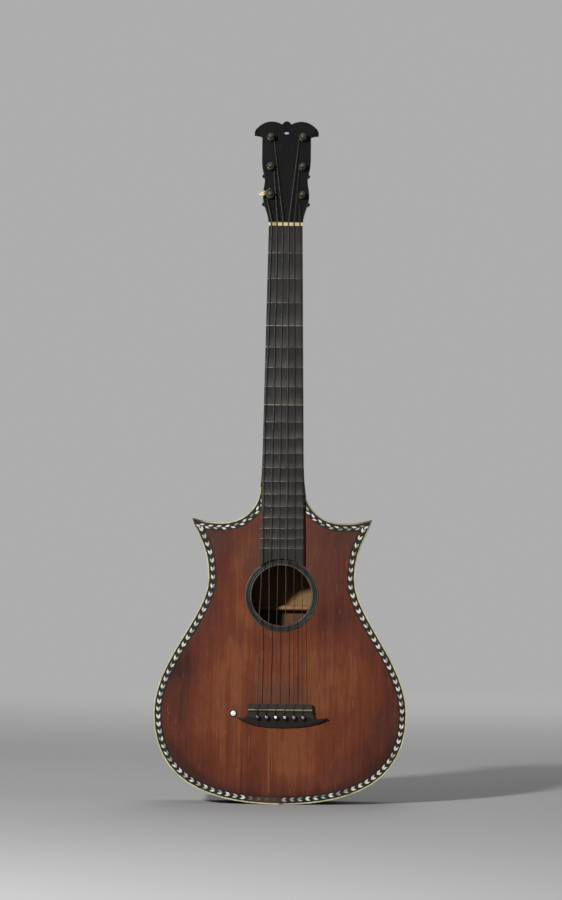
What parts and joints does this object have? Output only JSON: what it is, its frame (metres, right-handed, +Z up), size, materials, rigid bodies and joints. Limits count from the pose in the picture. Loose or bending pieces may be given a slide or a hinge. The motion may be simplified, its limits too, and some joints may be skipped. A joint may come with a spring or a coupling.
{
  "type": "guitar",
  "caption": "Guitar with a horned, waisted body, round soundhole, fretted neck, pegged head tilted back, and a moustache bridge whose pins hold the strings",
  "frame": {"origin": "the lowest point of the body, on its centre line and half-way through its depth at the tail", "axes": "+Z up along the neck, -Y out of the soundboard towards the player's listener, +X to the right of the front view, the treble side"},
  "size_m": [0.33, 0.1002, 0.8929],
  "materials": {
    "soundboard": "worn varnish over straight spruce grain, stained reddish brown",
    "back_and_ribs": "varnished, stained reddish brown",
    "inner_spruce": "bare wood",
    "edge_binding": "yellowed bone strip, rubbed smooth",
    "edge_band": "black mastic set with pale leaf-shaped inlays",
    "soundhole_ring": "blackened, satin, with a fine groove",
    "neck": "black lacquer, satin and worn",
    "fingerboard": "dark wood with worn metal frets",
    "nut_and_saddle": "yellowed bone",
    "pegs": "turned black wood, satin",
    "bridge": "black lacquer, satin",
    "bridge_pins": "turned black wood with pearl eyes",
    "stud": "polished pearl",
    "overspun_strings": "fine silvered wire over silk, tarnished",
    "gut_strings": "twisted gut, dry"
  },
  "bodies": {
    "root": {"soundboard": "soundboard", "back": "back_and_ribs", "lower_rib_bass": "back_and_ribs", "lower_rib_treble": "back_and_ribs", "upper_rib_bass": "back_and_ribs", "upper_rib_treble": "back_and_ribs", "tail_block": "inner_spruce", "neck_block": "inner_spruce", "horn_block_bass": "inner_spruce", "horn_block_treble": "inner_spruce", "bridge_plate": "inner_spruce", "top_lining_lower_bass": "inner_spruce", "top_lining_lower_treble": "inner_spruce", "top_lining_upper_bass": "inner_spruce", "top_lining_upper_treble": "inner_spruce", "back_lining_lower_bass": "inner_spruce", "back_lining_lower_treble": "inner_spruce", "back_lining_upper_bass": "inner_spruce", "back_lining_upper_treble": "inner_spruce", "top_brace_upper": "inner_spruce", "top_brace_middle": "inner_spruce", "top_brace_lower": "inner_spruce", "back_brace_upper": "inner_spruce", "back_brace_middle": "inner_spruce", "back_brace_lower": "inner_spruce", "binding_bass": "edge_binding", "binding_treble": "edge_binding", "inlay_band": "edge_band", "soundhole_ring": "soundhole_ring", "neck": "neck", "headstock": "neck", "fingerboard": "fingerboard", "nut": "nut_and_saddle", "saddle": "nut_and_saddle", "bridge": "bridge", "bridge_stud": "stud", "string_1": "overspun_strings", "string_2": "overspun_strings", "string_3": "overspun_strings", "string_4": "gut_strings", "string_5": "gut_strings", "string_6": "gut_strings"},
    "peg_1": {"peg_1": "pegs", "winding_1": "overspun_strings"},
    "peg_2": {"peg_2": "pegs", "winding_2": "overspun_strings"},
    "peg_3": {"peg_3": "pegs", "winding_3": "overspun_strings"},
    "peg_4": {"peg_4": "pegs", "winding_4": "gut_strings"},
    "peg_5": {"peg_5": "pegs", "winding_5": "gut_strings"},
    "peg_6": {"peg_6": "pegs", "winding_6": "gut_strings"},
    "bridge_pin_1": {"bridge_pin_1": "bridge_pins"},
    "bridge_pin_2": {"bridge_pin_2": "bridge_pins"},
    "bridge_pin_3": {"bridge_pin_3": "bridge_pins"},
    "bridge_pin_4": {"bridge_pin_4": "bridge_pins"},
    "bridge_pin_5": {"bridge_pin_5": "bridge_pins"},
    "bridge_pin_6": {"bridge_pin_6": "bridge_pins"}
  },
  "joints": [
    {"name": "peg_1_turn", "type": "hinge", "parent": "root", "child": "peg_1", "pos_m": [-0.021, -0.03507, 0.79222], "axis": [0, -0.9659, 0.2588], "continuous": true},
    {"name": "peg_2_turn", "type": "hinge", "parent": "root", "child": "peg_2", "pos_m": [-0.021, -0.02498, 0.8299], "axis": [0, -0.9659, 0.2588], "continuous": true},
    {"name": "peg_3_turn", "type": "hinge", "parent": "root", "child": "peg_3", "pos_m": [-0.021, -0.01449, 0.86902], "axis": [0, -0.9659, 0.2588], "continuous": true},
    {"name": "peg_4_turn", "type": "hinge", "parent": "root", "child": "peg_4", "pos_m": [0.021, -0.01449, 0.86902], "axis": [0, -0.9659, 0.2588], "continuous": true},
    {"name": "peg_5_turn", "type": "hinge", "parent": "root", "child": "peg_5", "pos_m": [0.021, -0.02498, 0.8299], "axis": [0, -0.9659, 0.2588], "continuous": true},
    {"name": "peg_6_turn", "type": "hinge", "parent": "root", "child": "peg_6", "pos_m": [0.021, -0.03507, 0.79222], "axis": [0, -0.9659, 0.2588], "continuous": true},
    {"name": "bridge_pin_1_pull", "type": "slide", "parent": "root", "child": "bridge_pin_1", "axis": [0, -1, 0], "range_m": [0, 0.028]},
    {"name": "bridge_pin_2_pull", "type": "slide", "parent": "root", "child": "bridge_pin_2", "axis": [0, -1, 0], "range_m": [0, 0.028]},
    {"name": "bridge_pin_3_pull", "type": "slide", "parent": "root", "child": "bridge_pin_3", "axis": [0, -1, 0], "range_m": [0, 0.028]},
    {"name": "bridge_pin_4_pull", "type": "slide", "parent": "root", "child": "bridge_pin_4", "axis": [0, -1, 0], "range_m": [0, 0.028]},
    {"name": "bridge_pin_5_pull", "type": "slide", "parent": "root", "child": "bridge_pin_5", "axis": [0, -1, 0], "range_m": [0, 0.028]},
    {"name": "bridge_pin_6_pull", "type": "slide", "parent": "root", "child": "bridge_pin_6", "axis": [0, -1, 0], "range_m": [0, 0.028]}
  ]
}
